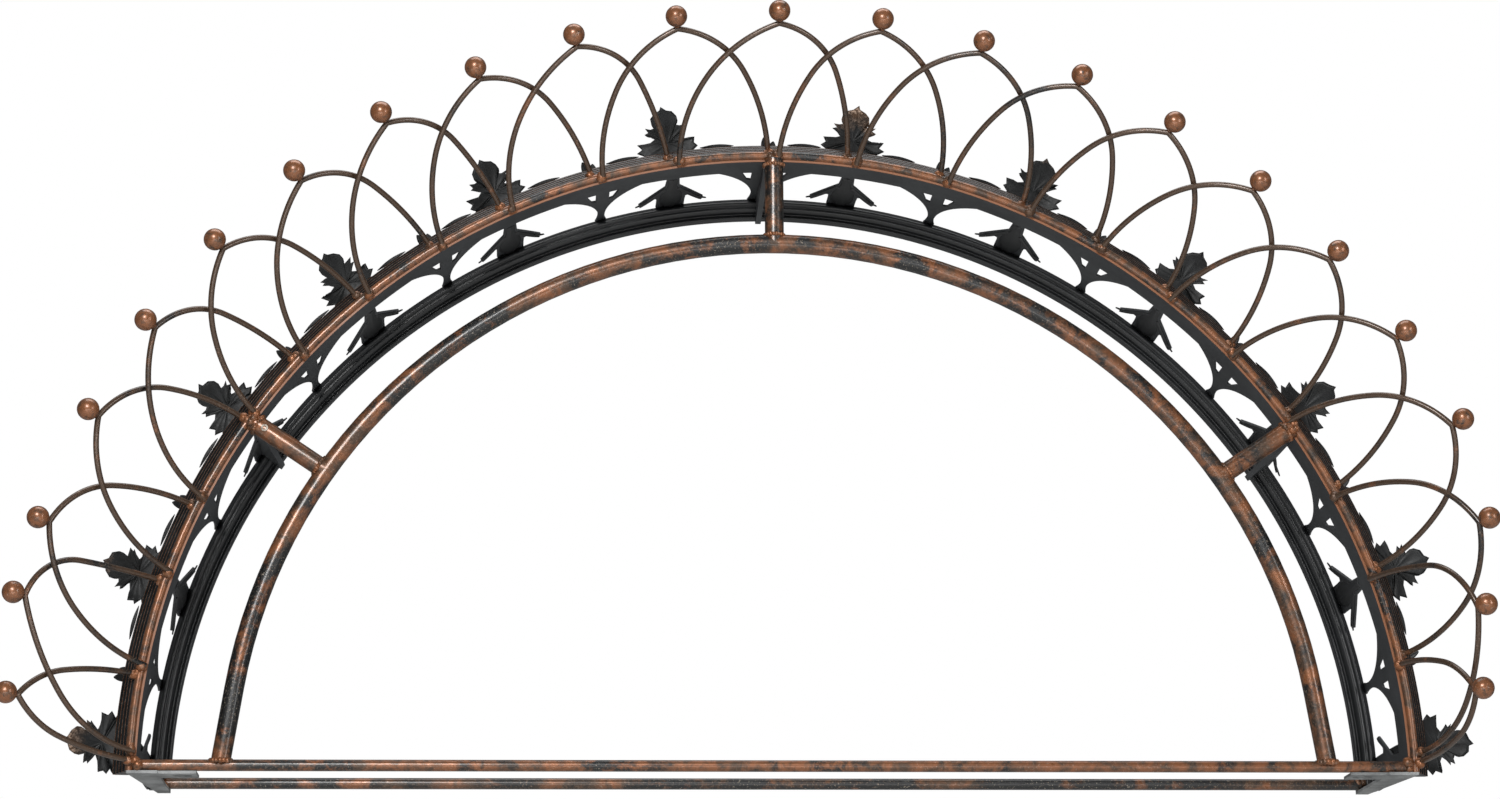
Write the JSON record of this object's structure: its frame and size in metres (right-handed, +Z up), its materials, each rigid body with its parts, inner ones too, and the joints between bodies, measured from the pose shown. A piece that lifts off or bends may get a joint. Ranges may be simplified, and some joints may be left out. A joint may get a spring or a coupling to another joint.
{
  "type": "garden arch frame",
  "caption": "Half-round welded steel arch frame with an inner ring, spokes, a pierced band, crossing wire loops with ball tips and pressed leaves.",
  "frame": {"origin": "midway between the two mounting holes, in the plane that the arch stands on", "axes": "+X to the right along the base, +Y back from the front ring, +Z up"},
  "size_m": [1.0218, 0.219, 0.5375],
  "materials": {
    "copper_tube": "antique copper brushed over black, semi-gloss",
    "copper_wire": "brown antique copper over black, semi-gloss",
    "copper_ball": "antique copper, satin",
    "cornice_black": "black with copper rubbed on the ridges, satin",
    "band_black": "satin black",
    "leaf_black": "satin black with brown copper on some tips",
    "plate_grey": "thin grey primer"
  },
  "bodies": {
    "root": {"back_base_rod": "copper_tube", "back_rail": "band_black", "ball_tips": "copper_ball", "band_panel_1": "band_black", "band_panel_2": "band_black", "band_panel_3": "band_black", "band_panel_4": "band_black", "buds": "leaf_black", "cornice": "cornice_black", "end_plate_left": "plate_grey", "end_plate_right": "plate_grey", "front_base_rod": "copper_tube", "front_ring": "copper_tube", "gusset_left": "band_black", "gusset_right": "band_black", "gusset_top": "band_black", "inner_ring": "copper_tube", "leaf_01": "leaf_black", "leaf_02": "leaf_black", "leaf_03": "leaf_black", "leaf_04": "leaf_black", "leaf_05": "leaf_black", "leaf_06": "leaf_black", "leaf_07": "leaf_black", "leaf_08": "leaf_black", "leaf_09": "leaf_black", "leaf_10": "leaf_black", "leaf_11": "leaf_black", "leaf_12": "leaf_black", "leaflets": "leaf_black", "loop_01": "copper_wire", "loop_02": "copper_wire", "loop_03": "copper_wire", "loop_04": "copper_wire", "loop_05": "copper_wire", "loop_06": "copper_wire", "loop_07": "copper_wire", "loop_08": "copper_wire", "loop_09": "copper_wire", "loop_10": "copper_wire", "loop_11": "copper_wire", "loop_12": "copper_wire", "loop_13": "copper_wire", "loop_14": "copper_wire", "loop_15": "copper_wire", "loop_16": "copper_wire", "loop_17": "copper_wire", "loop_18": "copper_wire", "loop_19": "copper_wire", "loop_20": "copper_wire", "loop_21": "copper_wire", "loop_22": "copper_wire", "loop_23": "copper_wire", "spoke_left": "copper_tube", "spoke_right": "copper_tube", "spoke_top": "copper_tube", "vent_eyelet": "copper_tube"}
  },
  "joints": []
}
